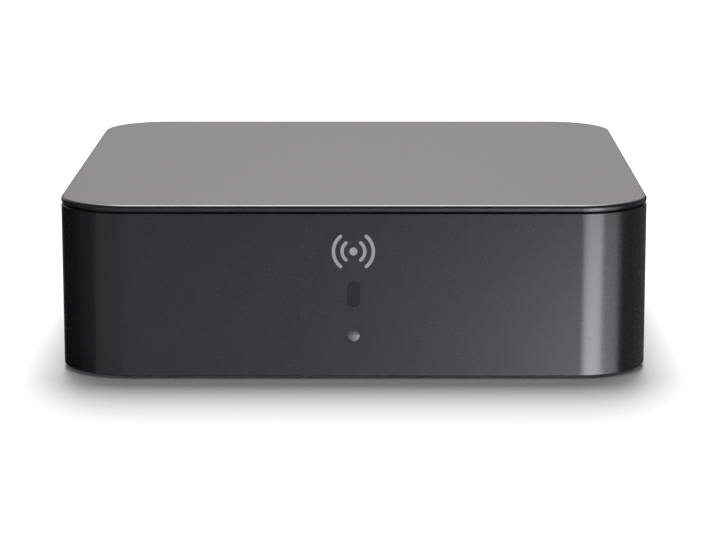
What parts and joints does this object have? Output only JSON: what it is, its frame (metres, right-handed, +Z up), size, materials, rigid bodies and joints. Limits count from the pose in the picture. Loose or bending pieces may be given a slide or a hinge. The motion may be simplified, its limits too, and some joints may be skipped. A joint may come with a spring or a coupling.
{
  "type": "network audio hub",
  "caption": "Square desktop network audio hub with large upright corners, a flat top cover over a fine shadow gap, a front infrared eye and status light, and a recessed connector bay.",
  "frame": {"origin": "centre of the footprint, on the surface that the feet stand on", "axes": "+Z up, -Y out of the front, +X to the right seen from the front"},
  "size_m": [0.142, 0.142, 0.0424],
  "materials": {
    "case_plastic": "fine-grained satin",
    "cover_plastic": "smooth satin",
    "tray_plastic": "textured",
    "foot_rubber": "matt",
    "zinc_steel": "zinc plated",
    "bay_plastic": "fine-grained",
    "light_diffuser": "milky",
    "smoked_lens": "polished",
    "board_laminate": "solder resist",
    "chip_resin": "moulded",
    "sink_aluminium": "extruded",
    "tin_plate": "tin plated",
    "gold_plate": "gold plated",
    "nickel_plate": "nickel plated",
    "insert_white": "moulded",
    "insert_red": "moulded",
    "socket_plastic": "moulded",
    "tongue_plastic": "moulded",
    "button_plastic": "satin",
    "winding_tape": "tape over copper wire",
    "ferrite": "sintered",
    "film_yellow": "moulded",
    "capacitor_sleeve": "shrunk film",
    "fuse_glass": "clear",
    "pad_silicone": "matt",
    "ribbon_plastic": "flat cable",
    "wire_insulation": "smooth",
    "lead_insulation": "smooth",
    "aerial_film": "flexible circuit",
    "insulation_film": "film"
  },
  "bodies": {
    "root": {"sleeve": "case_plastic", "top_cover": "cover_plastic", "base_tray": "tray_plastic", "rubber_feet": "foot_rubber", "case_screws": "zinc_steel", "bay_surround": "bay_plastic", "connector_panel": "bay_plastic", "panel_screw": "zinc_steel", "bay_screws": "zinc_steel", "light_pipe": "light_diffuser", "infrared_eye": "smoked_lens", "front_board": "board_laminate", "front_board_screws": "zinc_steel", "status_light": "insert_white", "infrared_receiver": "smoked_lens", "ribbon_sockets": "tongue_plastic", "ribbon": "ribbon_plastic", "main_board": "board_laminate", "power_board": "board_laminate", "board_screws": "zinc_steel", "phono_block": "socket_plastic", "phono_barrels": "nickel_plate", "phono_inserts_white": "insert_white", "phono_inserts_red": "insert_red", "phono_contacts": "nickel_plate", "network_socket": "socket_plastic", "network_shield": "tin_plate", "network_contacts": "gold_plate", "bus_shell": "tin_plate", "bus_tongue": "tongue_plastic", "optical_socket": "socket_plastic", "optical_emitter": "insert_red", "trigger_jack": "socket_plastic", "setup_switch": "socket_plastic", "inlet_socket": "socket_plastic", "inlet_pins": "nickel_plate", "processor": "chip_resin", "thermal_pad": "pad_silicone", "heat_sink": "sink_aluminium", "wireless_module": "board_laminate", "wireless_shield": "tin_plate", "aerials": "aerial_film", "aerial_leads": "lead_insulation", "signal_chips": "chip_resin", "filter_capacitors": "capacitor_sleeve", "transformer_core": "ferrite", "transformer_winding": "winding_tape", "suppressor": "film_yellow", "mains_choke": "winding_tape", "reservoir_capacitor": "capacitor_sleeve", "fuse": "fuse_glass", "power_heat_sink": "sink_aluminium", "smoothing_capacitors": "capacitor_sleeve", "supply_headers": "tongue_plastic", "supply_harness": "wire_insulation", "insulation_sheet": "insulation_film"},
    "setup_button": {"setup_button": "button_plastic"},
    "optical_flap": {"optical_flap": "socket_plastic"}
  },
  "joints": [
    {"name": "setup_button_slide", "type": "slide", "parent": "root", "child": "setup_button", "axis": [0, -1, 0], "range_m": [0, 0.0008], "stiffness_N_per_m": 400, "springref_m": -0.001},
    {"name": "optical_flap_hinge", "type": "hinge", "parent": "root", "child": "optical_flap", "pos_m": [0.01968, 0.05805, 0.0197], "axis": [-1, 0, 0], "range_deg": [0, 88], "stiffness_Nm_per_rad": 0.00005, "springref_deg": -28.65}
  ]
}
